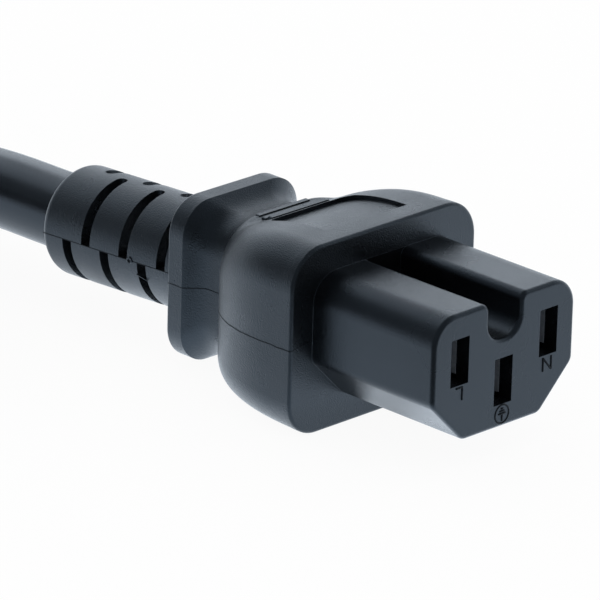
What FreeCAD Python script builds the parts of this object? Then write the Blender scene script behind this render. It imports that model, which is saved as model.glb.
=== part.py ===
import FreeCAD, Part
import Sketcher
import math
import os
import re

# Power cord: a keyed three-blade connector, its cable put away in a tied coil, and the matching plug.
# Millimetres. A connector is drawn with its mating face at y = 0, its cable toward +Y, and the line
# through its line and neutral blades at z = 0.

doc = FreeCAD.newDocument("power_cord")
dims = doc.addObject("Spreadsheet::Sheet", "dims")

DIMENSIONS = [
    ("pin_spacing", 14.0, "line blade to neutral blade"),
    ("earth_drop", 4.0, "earth blade below the other two"),
    ("nose_half", 11.15, "half width of the nose"),
    ("nose_top", 5.64, "top of the nose above the blade line"),
    ("nose_drop", 9.5, "bottom of the nose below the blade line"),
    ("nose_corner", 3.4, "rounding of the two upper corners"),
    ("nose_chamfer", 5.1, "cut across the two lower corners"),
    ("nose_soft", 1.4, "rounding where the chamfers begin and end"),
    ("nose_edge", 0.5, "rounding of the front edge"),
    ("nose_long", 18.52, "nose in front of the overmould"),
    ("insert_long", 27.0, "whole insert, front to back"),
    ("collar_start", 22.0, "collar that keys the insert in the overmould"),
    ("collar_long", 2.5, "length of that collar"),
    ("collar_out", 1.0, "how far the collar stands out"),
    ("groove_half", 2.5, "half width of the key groove"),
    ("groove_floor", 0.95, "groove floor above the blade line"),
    ("groove_round", 2.3, "rounding in the groove floor"),
    ("groove_edge", 1.0, "rounding at the groove mouth"),
    ("slot_wide", 2.8, "blade slot width"),
    ("slot_high", 5.5, "blade slot height"),
    ("slot_lip", 1.9, "front wall that holds the slots"),
    ("chamber_wide", 3.8, "contact chamber width"),
    ("chamber_high", 5.9, "contact chamber height"),
    ("block_half", 14.49, "half width of the overmould block"),
    ("block_top", 9.03, "top of the block above the blade line"),
    ("block_drop", 13.16, "bottom of the block below the blade line"),
    ("block_round_top", 4.73, "upper corner rounding"),
    ("block_round_low", 4.38, "lower corner rounding"),
    ("block_edge", 0.38, "rounding of the front edge"),
    ("block_land", 1.0, "straight land behind the front edge"),
    ("block_straight", 4.28, "block in front of the shoulder"),
    ("straight_step", 1.64, "half of what is left of it behind the land"),
    ("shoulder_long", 12.34, "length of the shoulder"),
    ("shoulder_in", 6.75, "how far the shoulder comes in at each side"),
    ("shoulder_down", 4.89, "how fast it comes down at the top"),
    ("shoulder_low", 6.4, "how low it gets at the top"),
    ("shoulder_up", 0.3, "how far it comes up at the bottom"),
    ("shoulder_round", 0.25, "extra corner rounding at the back of the shoulder"),
    ("draft_side", 0.01, "draft of the sides"),
    ("draft_low", 0.044, "draft of the bottom"),
    ("draft_top", 0.038, "draft of the top"),
    ("rim_start", 41.47, "front of the flange"),
    ("rim_end", 43.87, "back of the flange"),
    ("rim_half", 9.03, "half width of the flange"),
    ("rim_top", 6.85, "top of the flange above the blade line"),
    ("rim_drop", 12.54, "bottom of the flange below the blade line"),
    ("rim_round", 4.1, "corner rounding of the flange"),
    ("rim_edge", 0.35, "rounding of the flange edges"),
    ("waist_mid", 0.54, "narrowest place of the waist, as a share of its length"),
    ("waist_deep", 1.4, "depth of the waist under the flange outline"),
    ("waist_reach", 0.64, "how far the hollow spreads toward the shoulder, as a share"),
    ("waist_side", 1.8, "depth of the waist at the sides"),
    ("waist_side_reach", 1.5, "how far that hollow spreads toward the shoulder, as a share"),
    ("barrel_radius", 6.55, "strain relief radius"),
    ("barrel_long", 23.7, "strain relief behind the flange"),
    ("barrel_drop", 3.03, "strain relief axis below the blade line"),
    ("barrel_root", 3.0, "strain relief inside the flange"),
    ("barrel_end", 1.0, "rounding of the far end"),
    ("barrel_droop", 2.73, "downward lean of the connector's strain relief, degrees"),
    ("relief_wide", 1.45, "relief slot width"),
    ("relief_pitch", 6.23, "relief slot to the next in its row"),
    ("relief_first", 3.69, "first slot from the back of the flange"),
    ("relief_shift", 3.175, "step of the neighbouring row"),
    ("relief_sweep", 90.0, "slot length round the axis, degrees"),
    ("relief_tip", 0.7, "rounding of a slot end"),
    ("panel_half", 6.3, "half width of the sunken panel"),
    ("panel_front", 21.5, "front end of the panel"),
    ("panel_back", 31.1, "back wall of the panel"),
    ("panel_deep", 0.5, "depth at the back wall"),
    ("panel_mid", 26.2, "where the panel's floor bends"),
    ("panel_shallow", 0.3, "depth in front of the bend"),
    ("panel_bend", 25.0, "rounding of the bend"),
    ("panel_round", 1.6, "rounding of its back corners"),
    ("rib_half", 4.6, "half length of a grip rib"),
    ("rib_wide", 0.6, "rib width"),
    ("rib_pitch", 1.25, "rib to rib"),
    ("rib_first", 32.2, "front rib"),
    ("rib_proud", 0.3, "rib height above the shoulder"),
    ("rib_fade", 0.08, "how much lower each rib is than the one before it"),
    ("rib_less", 0.3, "how much shorter, at each end"),
    ("cable_wide", 9.1, "cable diameter"),
    ("core_wide", 3.3, "insulated core diameter"),
    ("core_ring", 1.95, "core centres from the cable axis"),
    ("strand_wide", 1.9, "bare wire diameter"),
    ("strand_start", 18.0, "front of the bare wire"),
    ("strip_at", 24.5, "where the core insulation begins"),
    ("jacket_at", 45.87, "where the cable jacket begins in the connector"),
    ("plug_jacket", 54.0, "where the cable jacket begins in the plug"),
    ("core_turn", 29.5, "where the connector's cores begin to close in"),
    ("plug_turn", 30.5, "where the plug's cores begin to close in"),
    ("core_close", 38.5, "where the cores lie together, inside the waist of either end"),
    ("leaf_thick", 0.4, "contact sheet thickness"),
    ("leaf_high", 4.6, "contact leaf height"),
    ("leaf_mouth", 1.35, "half gap at the contact mouth"),
    ("leaf_grip", 0.85, "half gap where the leaves grip"),
    ("leaf_back", 1.3, "half gap at the back"),
    ("grip_at", 6.0, "where the leaves grip"),
    ("open_at", 11.0, "where the leaves run straight again"),
    ("web_at", 15.5, "sheet that joins the leaves"),
    ("neck_at", 17.4, "front of the crimp"),
    ("neck_wide", 2.0, "width of the neck"),
    ("crimp_end", 23.0, "back of the crimp"),
    ("crimp_wide", 3.0, "crimp barrel diameter"),
    ("shroud_gap", 0.4, "clearance round a mated nose"),
    ("shroud_wall", 2.0, "wall of the plug shroud"),
    ("shroud_deep", 17.5, "depth of the plug shroud"),
    ("shroud_long", 21.0, "whole plug insert, front to back"),
    ("blade_wide", 2.0, "pin thickness"),
    ("blade_high", 4.0, "pin height"),
    ("blade_tip", 1.5, "pin tip behind the shroud rim"),
    ("blade_bevel", 0.5, "bevel of the pin tip"),
    ("plug_crimp", 27.0, "back of a pin's crimp"),
    ("plug_strip", 28.5, "where the plug's core insulation begins"),
    ("connector_mid", 33.85, "middle of the connector's length"),
    ("strap_thick", 0.8, "tie strap thickness"),
    ("strap_wide", 14.0, "tie strap width"),
    ("strap_lap", 17.0, "overlap of the strap on top"),
    ("turn_pitch", 9.2, "one turn of the coil to the next"),
    ("coil_radius", 60.5, "outermost turn, at the cable's axis"),
    ("coil_turns", 2.25, "turns in each layer"),
    ("coil_x", -60.5, "coil centre"),
    ("coil_y", 90.0, "coil centre"),
    ("plug_side", 47.0, "plug axis from the coil centre, along Y"),
]
for row, (alias, value, note) in enumerate(DIMENSIONS, 1):
    dims.set(f"A{row}", note)
    dims.set(f"B{row}", str(value))
    dims.setAlias(f"B{row}", alias)
doc.recompute()

ALIASES = {alias for alias, value, note in DIMENSIONS}
VERTICAL = FreeCAD.Vector(0, 0, 1)


def on_sheet(expression):
    return re.sub(r"[a-z_]+", lambda word: "dims." + word[0] if word[0] in ALIASES else word[0], expression)


def value_of(expression):
    return float(dims.evalExpression(on_sheet(expression)))


def bind(thing, **settings):
    for name, expression in settings.items():
        thing.setExpression(name.replace("__", "."), on_sheet(expression))


# Where things stand

CONNECTOR = ("0", "-connector_mid", "block_drop")
COIL_BASE = "strap_thick"
COIL_TOP = "strap_thick + 2 * turn_pitch"
PLUG = ("coil_x - plug_jacket", "coil_y + plug_side", f"{COIL_TOP} + block_drop")
PLUG_TURN = FreeCAD.Rotation(VERTICAL, -90)
BLADES = {
    "line": ("-pin_spacing / 2", "0"),
    "neutral": ("pin_spacing / 2", "0"),
    "earth": ("0", "-earth_drop"),
}


def stand(thing, at, turn=None):
    if turn is not None:
        thing.Placement = FreeCAD.Placement(FreeCAD.Vector(), turn)
    bind(thing, Placement__Base__x=at[0], Placement__Base__y=at[1], Placement__Base__z=at[2])


def in_connector(x, y, z):
    return (f"{CONNECTOR[0]} + {x}", f"{CONNECTOR[1]} + {y}", f"{CONNECTOR[2]} + {z}")


def in_plug(x, y, z):
    return (f"{PLUG[0]} + {y}", f"{PLUG[1]} - ({x})", f"{PLUG[2]} + {z}")


def point_of(at):
    return FreeCAD.Vector(*(value_of(expression) for expression in at))


# Sketches


def new_sketch(body, name, plane, offset="0"):
    sketch = body.newObject("Sketcher::SketchObject", name)
    origin = [feature for feature in body.Origin.OriginFeatures if feature.Role == plane + "_Plane"]
    sketch.AttachmentSupport = [(origin[0], "")]
    sketch.MapMode = "FlatFace"
    bind(sketch, AttachmentOffset__Base__z=offset)
    return sketch


def across(body, name, station):
    # a sketch across the connector at one station along Y: x to the right, z up
    return new_sketch(body, name, "XZ", f"-({station})")


def pin_down(sketch, geometry, place, x, y):
    for kind, axis, expression in (("DistanceX", -2, x), ("DistanceY", -1, y)):
        if expression == "0":
            sketch.addConstraint(Sketcher.Constraint("PointOnObject", geometry, place, axis))
            continue
        index = sketch.addConstraint(
            Sketcher.Constraint(kind, -1, 1, geometry, place, value_of(expression)))
        sketch.setExpression(f"Constraints[{index}]", on_sheet(expression))


def outline(sketch, corners):
    # closed outline through the corners (x, y, rounding), counter-clockwise
    count = len(corners)
    points = [FreeCAD.Vector(value_of(x), value_of(y), 0) for x, y, rounding in corners]
    arrive = []
    leave = []
    arcs = []
    for i, (x, y, rounding) in enumerate(corners):
        back = (points[i - 1] - points[i]).normalize()
        ahead = (points[(i + 1) % count] - points[i]).normalize()
        radius = value_of(rounding) if rounding else 0.0
        half = back.getAngle(ahead) / 2
        trim = radius / math.tan(half)
        arrive.append(points[i] + back * trim)
        leave.append(points[i] + ahead * trim)
        if not rounding:
            arcs.append(None)
            continue
        centre = points[i] + (back + ahead).normalize() * (radius / math.sin(half))
        outward = ahead.cross(back).z > 0
        first, last = (arrive[i], leave[i]) if outward else (leave[i], arrive[i])
        angles = [math.atan2(end.y - centre.y, end.x - centre.x) for end in (first, last)]
        circle = Part.Circle(centre, VERTICAL, radius)
        arcs.append((Part.ArcOfCircle(circle, angles[0], angles[1]), outward))
    lines = []
    for i in range(count):
        after = (i + 1) % count
        lines.append(sketch.addGeometry(Part.LineSegment(leave[i], arrive[after]), False))
        if arcs[after]:
            arcs[after] = (sketch.addGeometry(arcs[after][0], False), arcs[after][1])
    for i, (x, y, rounding) in enumerate(corners):
        if not rounding:
            sketch.addConstraint(Sketcher.Constraint("Coincident", lines[i - 1], 2, lines[i], 1))
            pin_down(sketch, lines[i], 1, x, y)
            continue
        corner = sketch.addGeometry(Part.Point(points[i]), True)
        pin_down(sketch, corner, 1, x, y)
        sketch.addConstraint(Sketcher.Constraint("PointOnObject", corner, 1, lines[i - 1]))
        sketch.addConstraint(Sketcher.Constraint("PointOnObject", corner, 1, lines[i]))
        arc, outward = arcs[i]
        start, end = (1, 2) if outward else (2, 1)
        sketch.addConstraint(Sketcher.Constraint("Tangent", lines[i - 1], 2, arc, start))
        sketch.addConstraint(Sketcher.Constraint("Tangent", arc, end, lines[i], 1))
        index = sketch.addConstraint(Sketcher.Constraint("Radius", arc, value_of(rounding)))
        sketch.setExpression(f"Constraints[{index}]", on_sheet(rounding))
    return sketch


def rectangle(sketch, half, top, drop, round_top=None, round_low=None):
    return outline(sketch, [
        (f"-({half})", f"-({drop})", round_low),
        (half, f"-({drop})", round_low),
        (half, top, round_top),
        (f"-({half})", top, round_top),
    ])


def nose_outline(sketch, grow="0", groove=False):
    half = f"nose_half + {grow}"
    top = f"nose_top + {grow}"
    drop = f"nose_drop + {grow}"
    corner = f"nose_corner + {grow}"
    cut = f"(nose_chamfer + 0.586 * ({grow}))"
    corners = [
        (f"-({half} - {cut})", f"-({drop})", None),
        (f"{half} - {cut}", f"-({drop})", None),
        (half, f"-({drop} - {cut})", None),
        (half, top, corner),
    ]
    if groove:
        corners += [
            ("groove_half", top, "groove_edge"),
            ("groove_half", "groove_floor", "groove_round"),
            ("-groove_half", "groove_floor", "groove_round"),
            ("-groove_half", top, "groove_edge"),
        ]
    corners += [
        (f"-({half})", top, corner),
        (f"-({half})", f"-({drop} - {cut})", None),
    ]
    return outline(sketch, corners)


# Features


def new_body(name):
    return doc.addObject("PartDesign::Body", name)


def feature(body, kind, name, sketch, **settings):
    made = body.newObject("PartDesign::" + kind, name)
    made.Profile = sketch
    bind(made, **settings)
    sketch.Visibility = False
    return made


def soften(body, name, radius, wanted):
    doc.recompute()
    base = body.Tip
    edges = [f"Edge{i}" for i, edge in enumerate(base.Shape.Edges, 1) if wanted(edge)]
    fillet = body.newObject("PartDesign::Fillet", name)
    fillet.Base = (base, edges)
    bind(fillet, Radius=radius)
    return fillet


def flat_at(axis, position):
    # picks the edges that lie in one plane across an axis
    def wanted(edge):
        low = getattr(edge.BoundBox, axis + "Min")
        high = getattr(edge.BoundBox, axis + "Max")
        return abs(low - position) < 0.01 and abs(high - position) < 0.01
    return wanted


def joined(name, things):
    fuse = doc.addObject("Part::MultiFuse", name)
    fuse.Shapes = things
    return fuse


def cut_out(name, base, tools):
    cut = doc.addObject("Part::Cut", name)
    cut.Base = base
    cut.Tool = joined(name + "_tools", tools) if len(tools) > 1 else tools[0]
    return cut


def box(name, at, size):
    made = doc.addObject("Part::Box", name)
    bind(made, Length=size[0], Width=size[1], Height=size[2])
    stand(made, at)
    return made


# Overmould: block, shoulder, waist, flange and strain relief, the same moulding at both ends


def shoulder_height(station):
    # top of the shoulder at one station along Y
    share = f"(({station} - nose_long - block_straight) / shoulder_long)"
    run = f"({station} - nose_long - block_land)"
    fall = f"draft_top * {run} + shoulder_down * (1 - sqrt(abs(1 - {share} * {share})))"
    return f"max(block_top - ({fall}); shoulder_low)"


def moulding_block(name):
    body = new_body(name)
    land = across(body, name + "_land", "nose_long")
    rectangle(land, "block_half", "block_top", "block_drop", "block_round_top", "block_round_low")
    pad = feature(body, "Pad", name + "_front", land, Length="block_land")
    pad.Reversed = True
    soften(body, name + "_front_edge", "block_edge", flat_at("Y", value_of("nose_long")))

    # stations along the back of the moulding, each a rounded rectangle: straight, shoulder, waist
    sections = []
    for i in range(3):
        section = across(body, f"{name}_straight_{i}", f"nose_long + block_land + {i} * straight_step")
        rectangle(
            section,
            f"block_half - draft_side * {i} * straight_step",
            f"block_top - draft_top * {i} * straight_step",
            f"block_drop - draft_low * {i} * straight_step",
            "block_round_top",
            "block_round_low",
        )
        sections.append(section)
    for i, share in enumerate((0.2, 0.4, 0.58, 0.73, 0.85, 0.93, 0.98, 1.0)):
        run = f"(block_straight - block_land + {share} * shoulder_long)"
        bend = f"(1 - sqrt(1 - {share} * {share}))"
        station = f"(nose_long + block_straight + {share} * shoulder_long)"
        section = across(body, f"{name}_shoulder_{i}", station)
        rectangle(
            section,
            f"block_half - draft_side * {run} - shoulder_in * {bend}",
            shoulder_height(station),
            f"block_drop - draft_low * {run} - shoulder_up * {bend}",
            f"block_round_top + shoulder_round * {share}",
            f"block_round_low + shoulder_round * {share}",
        )
        sections.append(section)
    last_shoulder = len(sections) - 1
    for i, share in enumerate((0.2, 0.45, 0.7, 0.9, 1.0)):
        front = share < value_of("waist_mid")
        reach = "waist_reach" if front else "(1 - waist_mid)"
        side_reach = "waist_side_reach" if front else "(1 - waist_mid)"
        hollow = f"waist_deep * (1 - (({share} - waist_mid) / {reach}) ^ 2)"
        side_hollow = f"waist_side * (1 - (({share} - waist_mid) / {side_reach}) ^ 2)"
        station = f"rim_start - (1 - {share}) * (rim_start - nose_long - block_straight - shoulder_long)"
        section = across(body, f"{name}_waist_{i}", station)
        rectangle(
            section,
            f"rim_half - {side_hollow}",
            f"rim_top - {hollow}",
            f"rim_drop - {hollow}",
            f"rim_round + (1 - {share}) * (block_round_top + shoulder_round - rim_round)",
            f"rim_round + (1 - {share}) * (block_round_low + shoulder_round - rim_round)",
        )
        sections.append(section)
    for part, first, last in (("shoulder", 0, last_shoulder), ("waist", last_shoulder, len(sections) - 1)):
        loft = feature(body, "AdditiveLoft", f"{name}_{part}", sections[first])
        loft.Sections = sections[first + 1:last + 1]
    rim = across(body, name + "_rim", "rim_start")
    rectangle(rim, "rim_half", "rim_top", "rim_drop", "rim_round", "rim_round")
    flange = feature(body, "Pad", name + "_flange", rim, Length="rim_end - rim_start")
    flange.Reversed = True
    soften(body, name + "_flange_edge", "rim_edge", flat_at("Y", value_of("rim_end")))

    # sunken panel: its floor follows the top face and deepens toward the back wall
    panel = new_sketch(body, name + "_panel", "YZ", "-panel_half")
    outline(panel, [
        ("panel_front", f"{shoulder_height('panel_front')} - panel_shallow", None),
        ("panel_mid", f"{shoulder_height('panel_mid')} - panel_shallow", "panel_bend"),
        ("panel_back", f"{shoulder_height('panel_back')} - panel_deep", None),
        ("panel_back", "block_top + 2", None),
        ("panel_front", "block_top + 2", None),
    ])
    pocket = feature(body, "Pocket", name + "_panel_cut", panel, Length="2 * panel_half")
    pocket.Reversed = True

    def back_corner(edge):
        span = edge.BoundBox
        upright = span.XLength < 0.01 and span.YLength < 0.01 and span.ZLength > 0.1
        return upright and abs(span.YMin - value_of("panel_back")) < 0.01
    soften(body, name + "_panel_corners", "panel_round", back_corner)

    for i in range(3):
        at = f"(rib_first + {i} * rib_pitch)"
        top = f"{shoulder_height(at)} + rib_proud - {i} * rib_fade"
        half = f"(rib_half - {i} * rib_less)"
        soft = f"(rib_proud - {i} * rib_fade) * 0.9"
        rib = across(body, f"{name}_rib_{i}", f"{at} - rib_wide / 2")
        outline(rib, [
            (f"-{half}", f"{top} - 2", None),
            (half, f"{top} - 2", None),
            (half, top, soft),
            (f"-{half}", top, soft),
        ])
        bar = feature(body, "Pad", f"{name}_rib_bar_{i}", rib, Length="rib_wide")
        bar.Reversed = True
    return body


def relief_barrel(name):
    # drawn along Y with the back of the flange at y = 0
    body = new_body(name)
    side = new_sketch(body, name + "_side", "XY")
    # the outside is divided between the slots, so that each ring keeps a face of its own
    rings = ["relief_first - relief_shift / 2"]
    for i in range(3):
        rings.append(f"relief_first + {i} * relief_pitch + relief_shift / 2")
        rings.append(f"relief_first + {i} * relief_pitch + (relief_shift + relief_pitch) / 2")
    corners = [("0", "-barrel_root", None), ("barrel_radius", "-barrel_root", None)]
    corners += [("barrel_radius", ring, None) for ring in rings]
    corners += [("barrel_radius", "barrel_long", "barrel_end"), ("0", "barrel_long", None)]
    outline(side, corners)
    turned = feature(body, "Revolution", name + "_turned", side)
    turned.ReferenceAxis = (side, ["V_Axis"])
    turned.Angle = 360
    turned.Refine = False
    doc.recompute()

    # four rows of slots, each in its own quarter between a side seam and a spine
    rows = [("XY", 1, False, 0), ("XY", 1, True, 1), ("XY", -1, True, 1), ("XY", -1, False, 0)]
    for i, (plane, hand, reverse, late) in enumerate(rows):
        shift = "relief_shift" if late else "0"
        slot = new_sketch(body, f"{name}_slot_{i}", plane)
        near = f"relief_first + {shift} - relief_wide / 2"
        inner = "cable_wide / 2"
        outer = "barrel_radius + 1"
        corners = [
            (f"{hand} * {inner}", near, None),
            (f"{hand} * ({outer})", near, None),
            (f"{hand} * ({outer})", f"{near} + relief_wide", None),
            (f"{hand} * {inner}", f"{near} + relief_wide", None),
        ]
        outline(slot, corners if hand > 0 else corners[::-1])
        groove = feature(body, "Groove", f"{name}_slot_cut_{i}", slot, Angle="relief_sweep")
        groove.ReferenceAxis = (slot, ["V_Axis"])
        groove.Reversed = reverse
        groove.Refine = False
        doc.recompute()
        rowed = body.newObject("PartDesign::LinearPattern", f"{name}_slots_{i}")
        rowed.Originals = [groove]
        rowed.Direction = (slot, ["V_Axis"])
        rowed.Occurrences = 3
        rowed.Refine = False
        bind(rowed, Length="2 * relief_pitch")
        body.Tip = rowed
        doc.recompute()
    return body


def round_slot_ends(body, name):
    # the ends of the slots next to the upper and lower spines
    def wanted(edge):
        if edge.Curve.TypeId != "Part::GeomLine":
            return False
        middle = edge.BoundBox.Center
        along = edge.tangentAt(edge.FirstParameter)
        return abs(along.y) < 0.01 and abs(middle.x) < 1.0 and 0 < middle.y < value_of("barrel_long - 1")
    ends = soften(body, name, "relief_tip", wanted)
    ends.Refine = False
    return ends


# Insert of the connector: keyed nose with a chamber behind each slot


def nose_block(name):
    body = new_body(name)
    front = across(body, name + "_nose_outline", "0")
    nose_outline(front, groove=True)
    nose = feature(body, "Pad", name + "_nose", front, Length="nose_long")
    nose.Reversed = True
    back = across(body, name + "_back_outline", "nose_long")
    nose_outline(back)
    rear = feature(body, "Pad", name + "_rear", back, Length="insert_long - nose_long")
    rear.Reversed = True

    def chamfer_corner(edge):
        span = edge.BoundBox
        low = span.ZMax < -value_of("nose_drop - nose_chamfer") + 0.01
        return low and span.YLength > 5 and span.XLength < 0.01 and span.ZLength < 0.01
    soften(body, name + "_corners", "nose_soft", chamfer_corner)

    def front_rim(edge):
        span = edge.BoundBox
        return span.YMax < 0.01
    soften(body, name + "_front_edge", "nose_edge", front_rim)
    ring = across(body, name + "_collar_outline", "collar_start")
    nose_outline(ring, grow="collar_out")
    collar = feature(body, "Pad", name + "_collar", ring, Length="collar_long")
    collar.Reversed = True
    return body


def chamber_tools(name):
    tools = []
    for blade, (x, z) in BLADES.items():
        tools.append(box(
            f"{blade}_{name}_slot",
            in_connector(f"{x} - slot_wide / 2", "0", f"{z} - slot_high / 2"),
            ("slot_wide", "slot_lip + 1", "slot_high"),
        ))
        tools.append(box(
            f"{blade}_{name}_chamber",
            in_connector(f"{x} - chamber_wide / 2", "slot_lip", f"{z} - chamber_high / 2"),
            ("chamber_wide", "insert_long - slot_lip", "chamber_high"),
        ))
    return tools


# Contacts, pins, wires


def crimp_barrel(body, name, start, end):
    side = new_sketch(body, name + "_crimp_side", "XY")
    outline(side, [
        ("strand_wide / 2", start, None),
        ("crimp_wide / 2", start, None),
        ("crimp_wide / 2", end, None),
        ("strand_wide / 2", end, None),
    ])
    turned = feature(body, "Revolution", name + "_crimp", side)
    turned.ReferenceAxis = (side, ["V_Axis"])
    turned.Angle = 360
    return turned


def fork_contact(name):
    # seen from above: two leaves that narrow to a grip, joined by a web, with a neck to the crimp
    body = new_body(name)
    plan = new_sketch(body, name + "_plan", "XY", "-leaf_high / 2")
    right = [
        ("leaf_mouth", "slot_lip"),
        ("leaf_mouth + leaf_thick", "slot_lip"),
        ("leaf_grip + leaf_thick", "grip_at"),
        ("leaf_back + leaf_thick", "open_at"),
        ("leaf_back + leaf_thick", "web_at + leaf_thick"),
    ]
    inside = [
        ("leaf_back", "web_at"),
        ("leaf_back", "open_at"),
        ("leaf_grip", "grip_at"),
    ]
    left = [(f"-({x})", y) for x, y in reversed(right)]
    hollow = [(f"-({x})", y) for x, y in reversed(inside)]
    outline(plan, [(x, y, None) for x, y in right + left + hollow + inside])
    feature(body, "Pad", name + "_leaves", plan, Length="leaf_high")
    neck = new_sketch(body, name + "_neck_plan", "XY", "-leaf_thick / 2")
    outline(neck, [
        ("-neck_wide / 2", "web_at", None),
        ("neck_wide / 2", "web_at", None),
        ("neck_wide / 2", "neck_at + 0.5", None),
        ("-neck_wide / 2", "neck_at + 0.5", None),
    ])
    feature(body, "Pad", name + "_neck", neck, Length="leaf_thick")
    crimp_barrel(body, name, "neck_at", "crimp_end")
    return body


def blade_pin(name):
    body = new_body(name)
    end = across(body, name + "_section", "blade_tip")
    rectangle(end, "blade_wide / 2", "blade_high / 2", "blade_high / 2")
    blade = feature(body, "Pad", name + "_blade", end, Length="shroud_long - blade_tip + 1")
    blade.Reversed = True
    doc.recompute()
    tip = flat_at("Y", value_of("blade_tip"))
    edges = [f"Edge{i}" for i, edge in enumerate(blade.Shape.Edges, 1) if tip(edge)]
    bevel = body.newObject("PartDesign::Chamfer", name + "_tip")
    bevel.Base = (blade, edges)
    bind(bevel, Size="blade_bevel")
    crimp_barrel(body, name, "shroud_long + 0.5", "plug_crimp")
    return body


def wire_end(name, at, turn, length):
    wire = doc.addObject("Part::Cylinder", name)
    bind(wire, Radius="strand_wide / 2", Height=length)
    lie = FreeCAD.Rotation(FreeCAD.Vector(1, 0, 0), -90)
    stand(wire, at, turn.multiply(lie))
    return wire


def tube(name, points, diameter):
    # round tube along straight runs with a tangent arc at each turn
    edges = []
    start = points[0]
    for before, corner, after in zip(points, points[1:], points[2:]):
        run = min((before - corner).Length, (after - corner).Length)
        back = (before - corner).normalize()
        ahead = (after - corner).normalize()
        half = back.getAngle(ahead) / 2
        trim = 0.45 * run
        radius = trim * math.tan(half)
        first = corner + back * trim
        last = corner + ahead * trim
        inward = (back + ahead).normalize()
        middle = corner + inward * (radius / math.sin(half) - radius)
        edges.append(Part.LineSegment(start, first).toShape())
        edges.append(Part.Arc(first, middle, last).toShape())
        print(f"{name}: bend radius {radius:.1f} mm")
        start = last
    edges.append(Part.LineSegment(start, points[-1]).toShape())
    path = Part.Wire(edges)
    ring = Part.Wire(Part.Circle(points[0], points[1] - points[0], diameter / 2).toShape())
    made = doc.addObject("Part::Feature", name)
    made.Shape = path.makePipeShell([ring], True, False)
    expected = math.pi * diameter ** 2 / 4 * path.Length
    print(f"{name}: {path.Length:.1f} mm long, volume {made.Shape.Volume / expected:.4f} of expected")
    return made


def core(name, blade, place, strip, turn, jacket, lean):
    x, z = BLADES[blade]
    side = {"line": "-0.866", "neutral": "0.866", "earth": "0"}[blade]
    rise = {"line": "0.5", "neutral": "0.5", "earth": "-1"}[blade]
    axis = f"-barrel_drop - {lean} * ({jacket} - rim_end)"
    end_x = f"{side} * core_ring"
    end_z = f"{axis} + {rise} * core_ring"
    stations = [
        place(x, strip, z),
        place(x, turn, z),
        place(end_x, "core_close", end_z),
        place(end_x, f"{jacket} + 0.3", f"{end_z} - 0.3 * {lean}"),
    ]
    return tube(name, [point_of(at) for at in stations], value_of("core_wide"))


# Cable: out of the connector, down to the coil, round, and up to the plug

LEAN = "tan(barrel_droop * 1deg)"
AXIS = "-barrel_drop"
LEVEL = f"{AXIS} - {LEAN} * 22"
LOW_TURN = f"{COIL_BASE} + turn_pitch / 2"
HIGH_TURN = f"{COIL_BASE} + 1.5 * turn_pitch"
lead_points = [
    point_of(in_connector("0", "jacket_at", f"{AXIS} - {LEAN} * (jacket_at - rim_end)")),
    point_of(in_connector("0", "rim_end + 22", LEVEL)),
    point_of(in_connector("0", "rim_end + 42", f"{LEVEL} - 0.02")),
    FreeCAD.Vector(0, value_of("coil_y - 20"), value_of(LOW_TURN)),
    FreeCAD.Vector(0, value_of("coil_y"), value_of(LOW_TURN)),
]
cable_lead = tube("cable_lead", lead_points, value_of("cable_wide"))

centre = FreeCAD.Vector(value_of("coil_x"), value_of("coil_y"), 0)
exit_height = value_of(HIGH_TURN)
barrel_height = value_of(f"{PLUG[2]} - barrel_drop")
rise = barrel_height - exit_height
tail_step = math.radians(15)
tail_run = value_of("coil_radius + plug_side") / sum(math.sin(tail_step * i) for i in range(1, 12))
tail_points = [FreeCAD.Vector(0, -value_of("coil_radius"), exit_height)]
for i in range(13):
    height = exit_height + rise * math.sin(math.pi / 2 * (min(i, 11) / 11) ** 1.2)
    heading = tail_step * i
    forward = FreeCAD.Vector(math.cos(heading), math.sin(heading), 0) * tail_run
    point = tail_points[-1] + forward
    point.z = height
    tail_points.append(point)
cable_tail = tube("cable_tail", [centre + point for point in tail_points], value_of("cable_wide"))


def half_disc(name, radius, shift, turn, base):
    # half of one coil layer: two of them, set off by half a pitch, leave the step where the cable joins
    disc = doc.addObject("Part::Cylinder", name)
    disc.Angle = 180
    bind(disc, Radius=radius, Height="turn_pitch")
    stand(disc, (f"coil_x + {shift[0]}", f"coil_y + {shift[1]}", base), FreeCAD.Rotation(VERTICAL, turn))
    return disc


WIDE = "coil_radius + turn_pitch / 4"
NARROW = "coil_radius - turn_pitch / 4"
QUARTER = "turn_pitch / 4"
turns = joined("turns", [
    half_disc("low_turns_far", WIDE, (QUARTER, "0"), 0, COIL_BASE),
    half_disc("low_turns_near", NARROW, (f"-{QUARTER}", "0"), 180, COIL_BASE),
    half_disc("high_turns_right", NARROW, ("0", QUARTER), -90, f"{COIL_BASE} + turn_pitch"),
    half_disc("high_turns_left", WIDE, ("0", f"-{QUARTER}"), 90, f"{COIL_BASE} + turn_pitch"),
])
eye = doc.addObject("Part::Cylinder", "coil_eye")
bind(eye, Radius="coil_radius - (coil_turns + 0.5) * turn_pitch", Height="4 * turn_pitch")
stand(eye, ("coil_x", "coil_y", "-turn_pitch"))
cable_coil = cut_out("cable_coil", turns, [eye])

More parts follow.
